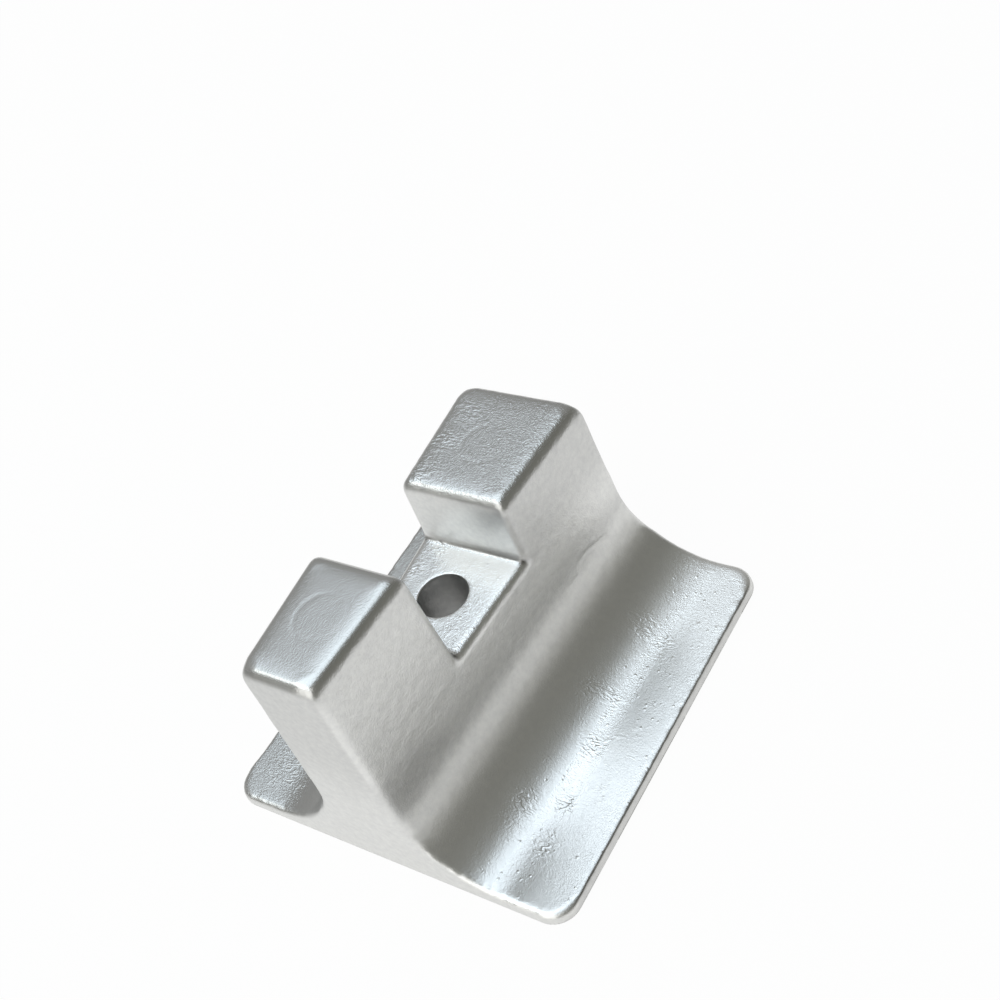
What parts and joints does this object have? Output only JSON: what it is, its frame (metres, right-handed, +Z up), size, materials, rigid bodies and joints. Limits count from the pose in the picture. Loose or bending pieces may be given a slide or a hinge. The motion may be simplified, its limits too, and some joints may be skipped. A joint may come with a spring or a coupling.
{
  "type": "horned block anode",
  "caption": "Cast block anode with a spreading flange, two horns of different height and a bolt hole in the notch between them.",
  "frame": {"origin": "middle of the flat underside", "axes": "+Z up from the underside, +Y along the block towards the shorter horn, +X across the flange"},
  "size_m": [0.0794, 0.08, 0.0544],
  "materials": {
    "cast_alloy": "as-cast satin silver metal with fine flow wrinkles and small pits"
  },
  "bodies": {
    "root": {"anode": "cast_alloy"}
  },
  "joints": []
}
